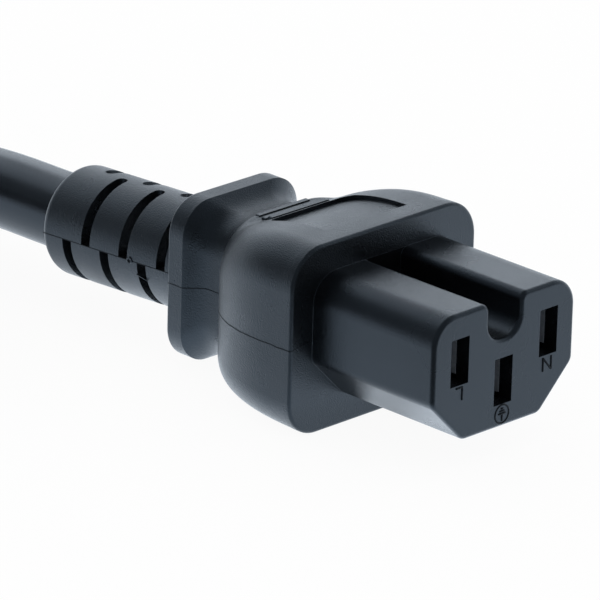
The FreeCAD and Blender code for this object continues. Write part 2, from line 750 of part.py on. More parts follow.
strap = new_body("strap")
loop = across(strap, "strap_loop", "-strap_wide / 2")
inner_side = "coil_radius - (coil_turns + 0.5) * turn_pitch - 0.8"
outer_side = "coil_radius + turn_pitch / 2 - 2.2"
for out, rounding in (("strap_thick", "2.8"), ("0", "2")):
    outline(loop, [
        (f"-({outer_side} + {out})", f"strap_thick - {out}", rounding),
        (f"-({inner_side} - {out})", f"strap_thick - {out}", rounding),
        (f"-({inner_side} - {out})", f"{COIL_TOP} + {out}", rounding),
        (f"-({outer_side} + {out})", f"{COIL_TOP} + {out}", rounding),
    ])
band = feature(strap, "Pad", "strap_band", loop, Length="strap_wide")
band.Reversed = True
lap = across(strap, "strap_lap_side", "-strap_wide / 2")
outline(lap, [
    (f"-({inner_side} + 4 + strap_lap)", f"{COIL_TOP} + strap_thick", None),
    (f"-({inner_side} + 4)", f"{COIL_TOP} + strap_thick", None),
    (f"-({inner_side} + 4)", f"{COIL_TOP} + 2 * strap_thick", None),
    (f"-({inner_side} + 4 + strap_lap)", f"{COIL_TOP} + 2 * strap_thick", None),
])
tongue = feature(strap, "Pad", "strap_tongue", lap, Length="strap_wide")
tongue.Reversed = True
stand(strap, ("coil_x", "coil_y", "0"))
coil_tie = cut_out("coil_tie", strap, [turns])

# Connector

straight_on = FreeCAD.Rotation()
nodes = {"cable_lead": cable_lead, "cable_coil": cable_coil, "coil_tie": coil_tie}
nodes["cable_tail"] = cable_tail
wires = []
for blade, (x, z) in BLADES.items():
    contact = fork_contact(blade + "_fork")
    stand(contact, in_connector(x, "0", z))
    strands = wire_end(blade + "_strands", in_connector(x, "strand_start", z), straight_on,
                       "strip_at - strand_start")
    whole_core = core(blade + "_core_whole", blade, in_connector, "strip_at", "core_turn", "jacket_at", LEAN)
    nodes[blade + "_contact"] = contact
    nodes[blade + "_strands"] = strands
    nodes[blade + "_core"] = cut_out(blade + "_core", whole_core, [cable_lead])
    wires.append(whole_core)
insert_block = nose_block("insert_block")
stand(insert_block, CONNECTOR)
nodes["connector_insert"] = cut_out("connector_insert", insert_block, chamber_tools("insert"))
connector_block = moulding_block("connector_block")
stand(connector_block, CONNECTOR)
connector_barrel = relief_barrel("connector_barrel")
round_slot_ends(connector_barrel, "connector_barrel_slot_ends")
stand(connector_barrel, in_connector("0", "rim_end", "-barrel_drop"),
      FreeCAD.Rotation(FreeCAD.Vector(1, 0, 0), -value_of("barrel_droop")))
connector_solid = joined("connector_solid", [connector_block, connector_barrel])
nodes["connector_overmould"] = cut_out(
    "connector_overmould", connector_solid, [insert_block, cable_lead] + wires)
for step in (connector_solid, nodes["connector_overmould"]):
    step.Refine = False

# Plug

plug_wires = []
pins = []
swapped = {"line": "neutral", "neutral": "line", "earth": "earth"}
for blade in BLADES:
    seat = swapped[blade]
    x, z = BLADES[seat]
    pin = blade_pin(f"plug_{blade}_blade")
    stand(pin, in_plug(x, "0", z), PLUG_TURN)
    strands = wire_end(f"plug_{blade}_strands", in_plug(x, "shroud_long + 1", z), PLUG_TURN,
                       "plug_strip - shroud_long - 1")
    trimmed_pin = cut_out(f"plug_{blade}_pin", pin, [strands])
    whole_core = core(f"plug_{blade}_core_whole", seat, in_plug, "plug_strip", "plug_turn", "plug_jacket", "0")
    nodes[f"plug_{blade}_pin"] = trimmed_pin
    nodes[f"plug_{blade}_strands"] = strands
    nodes[f"plug_{blade}_core"] = cut_out(f"plug_{blade}_core", whole_core, [cable_tail])
    plug_wires += [whole_core, strands, pin]
    pins.append(pin)
shroud = new_body("shroud")
rim_section = across(shroud, "shroud_outline", "0")
nose_outline(rim_section, grow="shroud_gap + shroud_wall")
wall = feature(shroud, "Pad", "shroud_wall_pad", rim_section, Length="shroud_long")
wall.Reversed = True
mouth = across(shroud, "shroud_mouth", "0")
nose_outline(mouth, grow="shroud_gap")
hollow = feature(shroud, "Pocket", "shroud_hollow", mouth, Length="shroud_deep")
stand(shroud, PLUG, PLUG_TURN)
nodes["plug_insert"] = cut_out("plug_insert", shroud, pins)
plug_block = moulding_block("plug_block")
stand(plug_block, PLUG, PLUG_TURN)
plug_barrel = relief_barrel("plug_barrel")
round_slot_ends(plug_barrel, "plug_barrel_slot_ends")
stand(plug_barrel, in_plug("0", "rim_end", "-barrel_drop"), PLUG_TURN)
plug_solid = joined("plug_solid", [plug_block, plug_barrel])
nodes["plug_overmould"] = cut_out("plug_overmould", plug_solid, [shroud, cable_tail] + plug_wires)
for step in (plug_solid, nodes["plug_overmould"]):
    step.Refine = False

doc.recompute()

# Checks and files

for thing in doc.Objects:
    if {"Invalid", "Error"} & set(thing.State):
        raise RuntimeError(f"{thing.Name}: {thing.State}")
os.makedirs("parts", exist_ok=True)
for node, thing in nodes.items():
    thing.Label = node
    shape = thing.Shape
    if shape.isNull() or not shape.isValid() or len(shape.Solids) != 1:
        raise RuntimeError(f"{node}: {len(shape.Solids)} solids, valid {shape.isValid()}")
    shape.exportStep(f"parts/{node}.step")
    size = shape.optimalBoundingBox()
    print(f"{node}: {size.XLength:.2f} x {size.YLength:.2f} x {size.ZLength:.2f} mm, z from {size.ZMin:.3f}, "
          f"y {size.YMin:.2f} to {size.YMax:.2f}, volume {shape.Volume:.0f}")
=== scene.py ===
import bpy
import math
from mathutils import Matrix, Vector


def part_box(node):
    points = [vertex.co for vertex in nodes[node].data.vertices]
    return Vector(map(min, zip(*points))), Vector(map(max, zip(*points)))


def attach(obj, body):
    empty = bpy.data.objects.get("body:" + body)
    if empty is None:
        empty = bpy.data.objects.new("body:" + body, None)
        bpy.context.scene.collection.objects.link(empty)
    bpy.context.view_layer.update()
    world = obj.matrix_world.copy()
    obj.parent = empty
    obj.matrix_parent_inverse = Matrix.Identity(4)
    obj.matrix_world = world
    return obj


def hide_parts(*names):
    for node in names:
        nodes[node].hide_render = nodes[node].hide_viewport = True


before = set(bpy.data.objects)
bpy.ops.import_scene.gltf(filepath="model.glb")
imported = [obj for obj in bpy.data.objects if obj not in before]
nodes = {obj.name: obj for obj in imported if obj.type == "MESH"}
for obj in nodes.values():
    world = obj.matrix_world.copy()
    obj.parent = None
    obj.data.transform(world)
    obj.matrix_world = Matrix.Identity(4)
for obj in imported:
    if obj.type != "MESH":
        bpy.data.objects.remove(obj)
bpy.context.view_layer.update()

bpy.ops.object.select_all(action="DESELECT")
print("frame loaded:", len(nodes), "nodes")

mm = 0.001
faceCentre = Vector((0, -33.85 * mm, 13.16 * mm))   # middle of the mating face


# Camera: a long lens, low over the left corner of the nose
cameraSet = {
    "azimuth": -45.302,
    "elevation": 21.12,
    "roll": 1.558,
    "lens": 401.97,
    "sensor": 36,
    "clip": (0.01, 50),
    "distance": 731.84 * mm,
    "slideRight": -22.340 * mm,
    "slideUp": 5.082 * mm,
}


def placeCamera():
    c = cameraSet
    turn, lift, roll = (math.radians(c[angle]) for angle in ("azimuth", "elevation", "roll"))
    back = Vector((math.sin(turn) * math.cos(lift), -math.cos(turn) * math.cos(lift), math.sin(lift)))
    level = Vector((math.cos(turn), math.sin(turn), 0))
    upright = back.cross(level)
    right = level * math.cos(roll) + upright * math.sin(roll)
    up = upright * math.cos(roll) - level * math.sin(roll)
    place = faceCentre + right * c["slideRight"] + up * c["slideUp"] + back * c["distance"]
    data = bpy.data.cameras.new("photoCamera")
    data.sensor_width = c["sensor"]
    data.lens = c["lens"]
    data.clip_start, data.clip_end = c["clip"]
    camera = bpy.data.objects.new("photoCamera", data)
    bpy.context.collection.objects.link(camera)
    camera.matrix_world = Matrix((
        (right.x, up.x, back.x, place.x),
        (right.y, up.y, back.y, place.y),
        (right.z, up.z, back.z, place.z),
        (0, 0, 0, 1),
    ))
    bpy.context.scene.camera = camera


placeCamera()
print("camera placed")


# Cable: out of the strain relief, down to the floor, round the put-away coil, up to the plug
cableSet = {
    "diameter": 9.1,
    "length": 1740,
    "exit": (0, 33.69, 9.0),
    "lead": [(0, 13.0, 9.988), (0, 32.02, 9.081), (0, 52.02, 9.061)],
    "leadDown": 20,             # where the lead reaches the floor, before the coil's middle
    "strapThick": 0.8,
    "coilCentre": (-60.5, 90.0),
    "outerTurn": 60.5,
    "turnPitch": 9.2,
    "turnsPerLayer": 2.25,
    "pointsPerTurn": 16,
    "climb": 90,                # degrees of turn from the lower layer to the upper one
    "tailStep": 15,             # degrees between two points of the tail
    "tailTurns": 11,
    "tailPoints": 13,
    "tailRise": 1.2,
    "plugSide": 47.0,
    "plugAxis": 29.33,          # height of the plug's strain relief
}


def coilRoute(low, high):
    c = cableSet
    cx, cy = c["coilCentre"]
    step = 360 / c["pointsPerTurn"]
    wound = 360 * c["turnsPerLayer"]
    inner = c["outerTurn"] - c["turnPitch"] * c["turnsPerLayer"]
    route = []
    angle = step / 2
    while angle < 2 * wound + c["climb"]:
        if angle < wound:
            radius = c["outerTurn"] - c["turnPitch"] * angle / 360
            height = low
        elif angle < wound + c["climb"]:
            share = (angle - wound) / c["climb"]
            radius = inner
            height = low + c["turnPitch"] * share * share * (3 - 2 * share)
        else:
            radius = inner + c["turnPitch"] * (angle - wound - c["climb"]) / 360
            height = high
        radius /= math.cos(math.radians(step / 2))
        here = math.radians(angle)
        route.append((cx + radius * math.cos(here), cy + radius * math.sin(here), height))
        angle += step
    return route


def tailRoute(high):
    c = cableSet
    cx, cy = c["coilCentre"]
    turns = c["tailTurns"]
    step = math.radians(c["tailStep"])
    run = (c["outerTurn"] + c["plugSide"]) / sum(math.sin(step * i) for i in range(1, turns + 1))
    route = []
    x, y = cx, cy - c["outerTurn"]
    for i in range(c["tailPoints"]):
        x += run * math.cos(step * i)
        y += run * math.sin(step * i)
        share = (min(i, turns) / turns) ** c["tailRise"]
        route.append((x, y, high + (c["plugAxis"] - high) * math.sin(math.pi / 2 * share)))
    return route


def cableRoute():
    low = cableSet["strapThick"] + cableSet["turnPitch"] / 2
    high = low + cableSet["turnPitch"]
    floorAt = cableSet["coilCentre"][1] - cableSet["leadDown"]
    return cableSet["lead"] + [(0, floorAt, low)] + coilRoute(low, high) + tailRoute(high)


def makeCable():
    data = bpy.data.curves.new("cableJacket", "CURVE")
    data.dimensions = "3D"
    spline = data.splines.new("NURBS")
    route = cableRoute()
    spline.points.add(len(route) - 1)
    for point, place in zip(spline.points, route):
        point.co = (place[0] * mm, place[1] * mm, place[2] * mm, 1)
        point.radius = cableSet["diameter"] / 2 * mm    # keeps the curve's own box true
    spline.order_u = 3
    spline.use_endpoint_u = True
    spline.resolution_u = 8
    spline.use_smooth = True
    data.bevel_depth = 1
    data.bevel_resolution = 10
    data.use_fill_caps = True
    cable = bpy.data.objects.new("cableJacket", data)
    bpy.context.collection.objects.link(cable)
    return cable


cable = makeCable()
cable.visible_glossy = False        # the put-away coil stays out of the moulding's gloss
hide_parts("cable_lead", "cable_coil", "cable_tail")
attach(cable, "root")
print("cable wound")


# Small moulded detail on both ends: what its pieces share
def deselect():
    if bpy.context.object and bpy.context.object.mode != "OBJECT":
        bpy.ops.object.mode_set(mode="OBJECT")
    bpy.ops.object.select_all(action="DESELECT")


def makeActive(piece):
    deselect()
    piece.select_set(True)
    bpy.context.view_layer.objects.active = piece


def editAll():
    bpy.ops.object.mode_set(mode="EDIT")
    bpy.ops.mesh.select_all(action="SELECT")


def useModifiers(piece):
    makeActive(piece)
    for modifier in list(piece.modifiers):
        bpy.ops.object.modifier_apply(modifier=modifier.name)


def joinAll(parts):
    makeActive(parts[0])
    for part in parts:
        part.select_set(True)
    if len(parts) > 1:
        bpy.ops.object.join()
    return bpy.context.object


def roundedBar(middle, turn, size, rounding, segments):
    deselect()
    bpy.ops.mesh.primitive_cube_add(size=1, location=middle, rotation=turn)
    bar = bpy.context.object
    bar.scale = size
    bpy.ops.object.transform_apply(location=False, rotation=False, scale=True)
    editAll()
    bpy.ops.mesh.bevel(offset=rounding, segments=segments, affect="EDGES")
    bpy.ops.object.mode_set(mode="OBJECT")
    bpy.ops.object.transform_apply(location=True, rotation=True, scale=True)
    return bar


def settle(piece, name):
    makeActive(piece)
    piece.name = name
    piece.data.name = name
    bpy.ops.object.transform_apply(location=True, rotation=True, scale=True)
    bpy.ops.object.shade_smooth_by_angle(angle=math.radians(40))
    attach(piece, "root")
    return piece


# Blade marks: raised strokes on the mating face, (x, height) from the blade line
markSet = {
    "strokeWide": 0.21,
    "strokeProud": 0.10,
    "strokeSunk": 0.06,
    "strokeRound": 0.07,
    "ringRadius": 1.08,
    "ringCentre": (0, -7.95),
    "ringFlat": 0.8,
    "line": [((-7.5, -3.05), (-6.42, -3.05)), ((-6.5, -3.0), (-6.5, -4.6))],
    "neutral": [
        ((6.32, -4.65), (6.32, -2.98)),
        ((7.62, -4.65), (7.62, -2.98)),
        ((6.32, -3.05), (7.62, -4.58)),
    ],
    "earth": [
        ((0, -8.8), (0, -7.9)),
        ((-0.58, -7.9), (0.58, -7.9)),
        ((-0.38, -7.6), (0.38, -7.6)),
        ((-0.18, -7.3), (0.18, -7.3)),
    ],
}


def addStroke(start, end):
    # half sunk in the face
    dx, dz = end[0] - start[0], end[1] - start[1]
    proud, sunk = markSet["strokeProud"], markSet["strokeSunk"]
    middle = faceCentre + Vector((start[0] + dx / 2, (sunk - proud) / 2, start[1] + dz / 2)) * mm
    size = (math.hypot(dx, dz) * mm, (proud + sunk) * mm, markSet["strokeWide"] * mm)
    return roundedBar(middle, (0, -math.atan2(dz, dx), 0), size, markSet["strokeRound"] * mm, 3)


def addRing():
    # a small bead spun round the earth mark
    x, z = markSet["ringCentre"]
    centre = faceCentre + Vector((x, 0, z)) * mm
    bead = centre + Vector((markSet["ringRadius"], 0, 0)) * mm
    deselect()
    bpy.ops.mesh.primitive_circle_add(vertices=10, radius=markSet["strokeWide"] / 2 * mm, location=bead)
    ring = bpy.context.object
    editAll()
    bpy.ops.transform.resize(value=(1, markSet["ringFlat"], 1))
    bpy.ops.mesh.spin(steps=40, angle=2 * math.pi, center=centre, axis=(0, 1, 0))
    bpy.ops.mesh.select_all(action="SELECT")
    bpy.ops.mesh.remove_doubles(threshold=0.001 * mm)
    bpy.ops.mesh.normals_make_consistent(inside=False)
    bpy.ops.object.mode_set(mode="OBJECT")
    bpy.ops.object.transform_apply(location=True, rotation=True, scale=True)
    return ring


marks = []
for blade in ("line", "neutral", "earth"):
    strokes = [addStroke(start, end) for start, end in markSet[blade]]
    if blade == "earth":
        strokes.append(addRing())
    marks.append(settle(joinAll(strokes), blade + "Mark"))
print("blade marks raised:", len(marks))


# Parting lines of the mould: hairlines down both sides of the mouldings and reliefs
seamSet = {
    "wide": 0.105,
    "proud": 0.025,
    "barRound": 0.45,                 # share of a bar's thinner side
    "sideFrom": (-15.2, 10.74),       # along the cable, height
    "sideTo": (9.9, 10.2),
    "standOff": 20,                   # where a strip starts before it is drawn in
    "reliefFrom": (10.02, 10.13),
    "reliefTo": (33.3, 9.02),
    "reliefRadius": 6.55,
    "landFrom": 11.3,
    "landTo": 14.3,
    "landAt": -15.33,
    "points": 180,
    "wander": 0.2,
    "wanderSize": 1.8,
}
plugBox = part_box("plug_overmould")
plugFront = plugBox[0][0]
plugMiddle = (plugBox[0][1] + plugBox[1][1]) / 2
plugRise = plugBox[0][2]
wanderCloud = bpy.data.textures.new("seamWander", "CLOUDS")
wanderCloud.noise_scale = seamSet["wanderSize"] * mm


def atPlug(point):
    # a place on the connector, carried over to the plug
    return Vector((plugFront + point.y - seamSet["landAt"] * mm, plugMiddle - point.x, plugRise + point.z))


def sideSeam(node, hand):
    # a strip beside the moulding that wanders a little, drawn in onto its side and given a body
    onPlug = node.startswith("plug")
    (y0, z0), (y1, z1) = seamSet["sideFrom"], seamSet["sideTo"]
    middle = Vector((hand * seamSet["standOff"], (y0 + y1) / 2, (z0 + z1) / 2)) * mm
    lean = Matrix.Rotation(math.atan2(z1 - z0, y1 - y0), 4, "X")
    turn = lean @ Matrix.Rotation(math.pi / 2, 4, "Z") @ Matrix.Rotation(math.pi / 2, 4, "X")
    outward = hand
    if onPlug:
        middle = atPlug(middle)
        turn = Matrix.Rotation(-math.pi / 2, 4, "Z") @ turn
        outward = -hand
    deselect()
    bpy.ops.mesh.primitive_grid_add(x_subdivisions=seamSet["points"], y_subdivisions=1, size=1,
                                    location=middle, rotation=turn.to_euler())
    strip = bpy.context.object
    strip.scale = (math.hypot(y1 - y0, z1 - z0) * mm, seamSet["wide"] * mm, 1)
    bpy.ops.object.transform_apply(location=True, rotation=True, scale=True)
    wander = strip.modifiers.new("wander", "DISPLACE")
    wander.texture = wanderCloud
    wander.direction = "Z"
    wander.strength = seamSet["wander"] * mm
    draw = strip.modifiers.new("drawIn", "SHRINKWRAP")
    draw.target = nodes[node]
    draw.wrap_method = "PROJECT"
    draw.use_project_x = not onPlug
    draw.use_project_y = onPlug
    draw.use_positive_direction = outward < 0
    draw.use_negative_direction = outward > 0
    body = strip.modifiers.new("body", "SOLIDIFY")
    body.thickness = 2 * seamSet["proud"] * mm
    body.offset = 0
    useModifiers(strip)
    editAll()
    bpy.ops.mesh.normals_make_consistent(inside=False)
    bpy.ops.object.mode_set(mode="OBJECT")
    return strip


def seamBar(node, start, end, wide, proud):
    # a fine straight ridge from one place on a moulding to another
    start, end = Vector(start) * mm, Vector(end) * mm
    if node.startswith("plug"):
        start, end = atPlug(start), atPlug(end)
    run = end - start
    rounding = seamSet["barRound"] * min(wide, 2 * proud) * mm
    size = (run.length, 2 * proud * mm, wide * mm)
    return roundedBar((start + end) / 2, run.to_track_quat("X", "Z").to_euler(), size, rounding, 3)


def seamsOf(node, hand):
    (y0, z0), (y1, z1) = seamSet["reliefFrom"], seamSet["reliefTo"]
    if node.startswith("plug"):
        z1 = z0                       # the plug's relief is level
    side = hand * seamSet["reliefRadius"]
    bar = seamBar(node, (side, y0, z0), (side, y1, z1), seamSet["wide"], seamSet["proud"])
    return joinAll([sideSeam(node, hand), bar])


seams = []
for end in ("connector", "plug"):
    for hand, side in ((-1, "Left"), (1, "Right")):
        seams.append(settle(seamsOf(end + "_overmould", hand), end + side + "Seam"))
print("parting lines drawn:", len(seams))


# Flash where each insert comes out of its moulding
flashSet = {
    "bead": 0.055,
    "ahead": 0.02,
    "merge": 0.0005,
    "ridgeWide": 0.12,
    "ridgeProud": 0.06,
    "ridgeRise": 0.5,
}


def flashRing(node, place, along):
    # the insert's outline where it leaves the moulding, thickened to a bead
    ring = bpy.data.objects.new("flashRing", nodes[node].data.copy())
    bpy.context.collection.objects.link(ring)
    makeActive(ring)
    editAll()
    bpy.ops.mesh.remove_doubles(threshold=flashSet["merge"] * mm)
    bpy.ops.mesh.select_all(action="SELECT")
    bpy.ops.mesh.bisect(plane_co=place, plane_no=along, clear_inner=True, clear_outer=True)
    bpy.ops.mesh.select_all(action="SELECT")
    bpy.ops.mesh.separate(type="LOOSE")
    bpy.ops.object.mode_set(mode="OBJECT")
    loops = list(bpy.context.selected_objects)
    loops.sort(key=lambda loop: loop.dimensions.length, reverse=True)
    for loop in loops[1:]:
        bpy.data.objects.remove(loop, do_unlink=True)
    makeActive(loops[0])
    bpy.ops.object.convert(target="CURVE")
    bead = bpy.context.object
    bead.data.bevel_depth = flashSet["bead"] * mm
    bead.data.bevel_resolution = 2
    bead.data.use_fill_caps = True
    bpy.ops.object.convert(target="MESH")
    return bpy.context.object


def flashRound(node, place, along):
    pieces = [flashRing(node, place, along)]
    low = seamSet["sideFrom"][1]
    high = low + flashSet["ridgeRise"]
    for hand in (-1, 1):
        start = (hand * seamSet["landFrom"], seamSet["landAt"], high)
        end = (hand * seamSet["landTo"], seamSet["landAt"], low)
        pieces.append(seamBar(node, start, end, flashSet["ridgeWide"], flashSet["ridgeProud"]))
    return joinAll(pieces)


noseRoot = Vector((0, seamSet["landAt"] - flashSet["ahead"], 0)) * mm
flashes = [
    settle(flashRound("connector_insert", noseRoot, (0, 1, 0)), "connectorFlash"),
    settle(flashRound("plug_insert", atPlug(noseRoot), (1, 0, 0)), "plugFlash"),
]
print("flash trimmed:", len(flashes))


# Scraps left on the connector's relief: a torn curl on the parting line and a thread across a slot
scrapSet = {
    "curlAt": (-6.56, 18.75, 9.74),
    "curlRadius": 0.33,
    "curlThick": 0.13,
    "curlRough": 0.22,
    "curlGrain": 0.25,
    "threadAt": (-6.42, 16.8, 8.16),
    "threadLong": 1.9,
    "threadThick": 0.13,
    "threadRound": 0.4,         # share of its thickness
    "threadLean": 8,
}


def tornCurl():
    deselect()
    bpy.ops.mesh.primitive_torus_add(
        major_segments=28,
        minor_segments=10,
        location=Vector(scrapSet["curlAt"]) * mm,
        rotation=(0, math.pi / 2, 0),
        major_radius=scrapSet["curlRadius"] * mm,
        minor_radius=scrapSet["curlThick"] * mm,
    )
    curl = bpy.context.object
    bpy.ops.object.transform_apply(location=True, rotation=True, scale=True)
    cloud = bpy.data.textures.new("tornEdge", "CLOUDS")
    cloud.noise_scale = scrapSet["curlGrain"] * mm
    torn = curl.modifiers.new("torn", "DISPLACE")
    torn.texture = cloud
    torn.strength = scrapSet["curlRough"] * mm
    useModifiers(curl)
    return curl


def slotThread():
    thick = scrapSet["threadThick"] * mm
    size = (thick, scrapSet["threadLong"] * mm, thick)
    turn = (math.radians(scrapSet["threadLean"]), 0, 0)
    return roundedBar(Vector(scrapSet["threadAt"]) * mm, turn, size, scrapSet["threadRound"] * thick, 2)


scraps = [settle(tornCurl(), "tornCurl"), settle(slotThread(), "slotThread")]
print("scraps left:", len(scraps))


# Finishes: what they share
noiseSpan = (0.3, 0.7)          # where nearly all of a noise lies


def newFinish(name):
    finish = bpy.data.materials.new(name)
    finish.use_nodes = True
    tree = finish.node_tree
    shader = tree.nodes["Principled BSDF"]
    place = tree.nodes.new("ShaderNodeTexCoord")
    return finish, tree, shader, place.outputs["Object"]


def addNoise(tree, place, scale, detail, roughness=0.5):
    noise = tree.nodes.new("ShaderNodeTexNoise")
    noise.inputs["Scale"].default_value = scale
    noise.inputs["Detail"].default_value = detail
    noise.inputs["Roughness"].default_value = roughness
    tree.links.new(place, noise.inputs["Vector"])
    return noise.outputs["Fac"]


def addMath(tree, operation, first, second):
    node = tree.nodes.new("ShaderNodeMath")
    node.operation = operation
    for i, value in enumerate((first, second)):
        if isinstance(value, (int, float)):
            node.inputs[i].default_value = value
        else:
            tree.links.new(value, node.inputs[i])
    return node.outputs["Value"]


def addRange(tree, source, low, high):
    ranged =tree.nodes.new("ShaderNodeMapRange")
    ranged.inputs["From Min"].default_value, ranged.inputs["From Max"].default_value = noiseSpan
    ranged.inputs["To Min"].default_value = low
    ranged.inputs["To Max"].default_value = high
    tree.links.new(source, ranged.inputs["Value"])
    return ranged.outputs["Result"]


def addTint(tree, shader, share, settings):
    tint = tree.nodes.new("ShaderNodeMix")
    tint.data_type = "RGBA"
    tint.inputs["A"].default_value = (*settings["dark"], 1)
    tint.inputs["B"].default_value = (*settings["light"], 1)
    tree.links.new(share, tint.inputs["Factor"])
    tree.links.new(tint.outputs["Result"], shader.inputs["Base Color"])


def addRough(tree, shader, source, settings):
    rough = addRange(tree, source, settings["roughLow"], settings["roughHigh"])
    tree.links.new(rough, shader.inputs["Roughness"])


def addBump(tree, shader, source, strength, depth):
    bump = tree.nodes.new("ShaderNodeBump")
    bump.inputs["Strength"].default_value = strength
    bump.inputs["Distance"].default_value = depth * mm
    tree.links.new(source, bump.inputs["Height"])
    tree.links.new(bump.outputs["Normal"], shader.inputs["Normal"])


# Mouldings, inserts, jacket and wires: near-black vinyl with a cold sheen and a fine grain
mouldingSet = {
    "dark": (0.0012, 0.0012, 0.0014),
    "light": (0.0018, 0.0019, 0.0023),
    "cloudScale": 160,
    "roughLow": 0.255,
    "roughHigh": 0.345,
    "grainScale": 5800,
    "grainDepth": 0.062,
    "specular": 0.616,
    "sheen": 0.06,
    "sheenRough": 0.18,
    "glint": (0.67, 0.83, 1.0),
}
insertSet = {
    "dark": (0.0010, 0.0011, 0.0013),
    "light": (0.0016, 0.0017, 0.0021),
    "cloudScale": 140,
    "roughLow": 0.220,
    "roughHigh": 0.300,
    "grainScale": 6800,
    "grainDepth": 0.035,
    "specular": 0.616,
    "sheen": 0.06,
    "sheenRough": 0.18,
    "glint": (0.65, 0.82, 1.0),
}
jacketSet = {
    "dark": (0.0014, 0.0015, 0.0017),
    "light": (0.0022, 0.0023, 0.0026),
    "cloudScale": 120,
    "roughLow": 0.182,
    "roughHigh": 0.283,
    "grainScale": 6000,
    "grainDepth": 0.022,
    "specular": 0.616,
    "sheen": 0.06,
    "sheenRough": 0.18,
    "glint": (0.68, 0.83, 1.0),
}
# dull, low-gloss finish that paints the parting lines and blade marks dark, as shade
seamShadowSet = dict(
    mouldingSet,
    dark=(0.0016, 0.0017, 0.0020),
    light=(0.0026, 0.0028, 0.0034),
    roughLow=0.5,
    roughHigh=0.65,
    specular=0.2,
    sheen=0,
)


def mouldedFinish(name, settings):
    finish, tree, shader, place = newFinish(name)
    cloud = addNoise(tree, place, settings["cloudScale"], 3)
    addTint(tree, shader, addRange(tree, cloud, 0, 1), settings)
    addRough(tree, shader, cloud, settings)
    grain = addNoise(tree, place, settings["grainScale"], 2, 0.6)
    addBump(tree, shader, grain, 1, settings["grainDepth"])
    shader.inputs["Specular IOR Level"].default_value = settings["specular"]
    shader.inputs["Specular Tint"].default_value = (*settings["glint"], 1)
    shader.inputs["Sheen Weight"].default_value = settings["sheen"]
    shader.inputs["Sheen Roughness"].default_value = settings["sheenRough"]
    shader.inputs["Sheen Tint"].default_value = (*settings["glint"], 1)
    return finish


def wireFinish(name, dark, light):
    settings = dict(jacketSet, dark=dark, light=light, cloudScale=300, grainScale=2500)
    return mouldedFinish(name, settings)


# Contacts, pins and bare wire: drawn metal with fine lines along it
# the tin's colour is darkened well below its own: painted shade inside the slots
slotShadedPlateSet = {
    "dark": (0.14, 0.16, 0.19),
    "light": (0.20, 0.225, 0.26),
    "drawn": (1, 0.15, 1),
    "lineScale": 2500,
    "roughLow": 0.45,
    "roughHigh": 0.60,
    "metal": 0.35,              # dull tin, more matt than bright
}
pinSet = {
    "dark": (0.58, 0.57, 0.54),
    "light": (0.72, 0.71, 0.68),
    "drawn": (0.15, 1, 1),
    "lineScale": 2500,
    "roughLow": 0.25,
    "roughHigh": 0.38,
    "metal": 1,
}
copperSet = dict(pinSet, dark=(0.48, 0.24, 0.13), light=(0.66, 0.36, 0.22), drawn=(1, 0.05, 1))


def metalFinish(name, settings):
    finish, tree, shader, place = newFinish(name)
    stretch = tree.nodes.new("ShaderNodeMapping")
    stretch.inputs["Scale"].default_value = settings["drawn"]
    tree.links.new(place, stretch.inputs["Vector"])
    lines = addNoise(tree, stretch.outputs["Vector"], settings["lineScale"], 3)
    addTint(tree, shader, addRange(tree, lines, 0, 1), settings)
    addRough(tree, shader, lines, settings)
    shader.inputs["Metallic"].default_value = settings["metal"]
    return finish


# Tie: a woven strap
strapSet = {
    "dark": (0.012, 0.012, 0.013),
    "light": (0.035, 0.035, 0.038),
    "ribScale": 900,
    "ribWaver": 1.5,
    "weaveScale": 1400,
    "weaveStrength": 0.8,
    "weaveDepth": 0.2,
    "rough": 0.85,
    "sheen": 0.25,
}


def strapFinish(name, settings):
    finish, tree, shader, place = newFinish(name)
    ribs = tree.nodes.new("ShaderNodeTexWave")
    ribs.wave_type = "BANDS"
    ribs.bands_direction = "Y"
    ribs.inputs["Scale"].default_value = settings["ribScale"]
    ribs.inputs["Distortion"].default_value = settings["ribWaver"]
    ribs.inputs["Detail"].default_value = 2
    tree.links.new(place, ribs.inputs["Vector"])
    fibres = addNoise(tree, place, settings["weaveScale"], 4)
    weave = addMath(tree, "MULTIPLY", ribs.outputs["Fac"], fibres)
    addTint(tree, shader, weave, settings)
    addBump(tree, shader, weave, settings["weaveStrength"], settings["weaveDepth"])
    shader.inputs["Roughness"].default_value = settings["rough"]
    shader.inputs["Sheen Weight"].default_value = settings["sheen"]
    return finish


finishes = {
    "moulding": mouldedFinish("mouldedVinyl", mouldingSet),
    "insert": mouldedFinish("hardInsert", insertSet),
    "cable": mouldedFinish("jacketVinyl", jacketSet),
    # the contacts' tin is painted darker, as the shade inside the slots
    "contact": metalFinish("tinPlate", slotShadedPlateSet),
    "pin": metalFinish("nickelPlate", pinSet),
    "strands": metalFinish("bareCopper", copperSet),
    "seam": mouldedFinish("seamShadow", seamShadowSet),
    "strap": strapFinish("wovenStrap", strapSet),
    "line": wireFinish("lineCore", (0.015, 0.015, 0.016), (0.025, 0.025, 0.027)),
    "neutral": wireFinish("neutralCore", (0.62, 0.62, 0.60), (0.72, 0.72, 0.70)),
    "earth": wireFinish("earthCore", (0.02, 0.16, 0.05), (0.03, 0.22, 0.07)),
}


def finishOf(name):
    if name.endswith("_overmould"):
        return finishes["moulding"]
    if name.endswith("_insert"):
        return finishes["insert"]
    if name.endswith("_core"):
        return finishes[name.split("_")[-2]]
    if name == "coil_tie":
        return finishes["strap"]
    for ending in ("contact", "pin", "strands"):
        if name.endswith("_" + ending):
            return finishes[ending]
    return finishes["cable"]


for name, node in nodes.items():
    for slot in node.material_slots:
        slot.material = finishOf(name)
cable.data.materials.append(finishes["cable"])
# blade marks and parting lines take the seam finish, painted dark as shade
for pieces, finish in ((marks, "seam"), (seams, "seam"), (flashes, "moulding"), (scraps, "moulding")):
    for piece in pieces:
        piece.data.materials.clear()
        piece.data.materials.append(finishes[finish])
print("finishes set:", len(finishes))


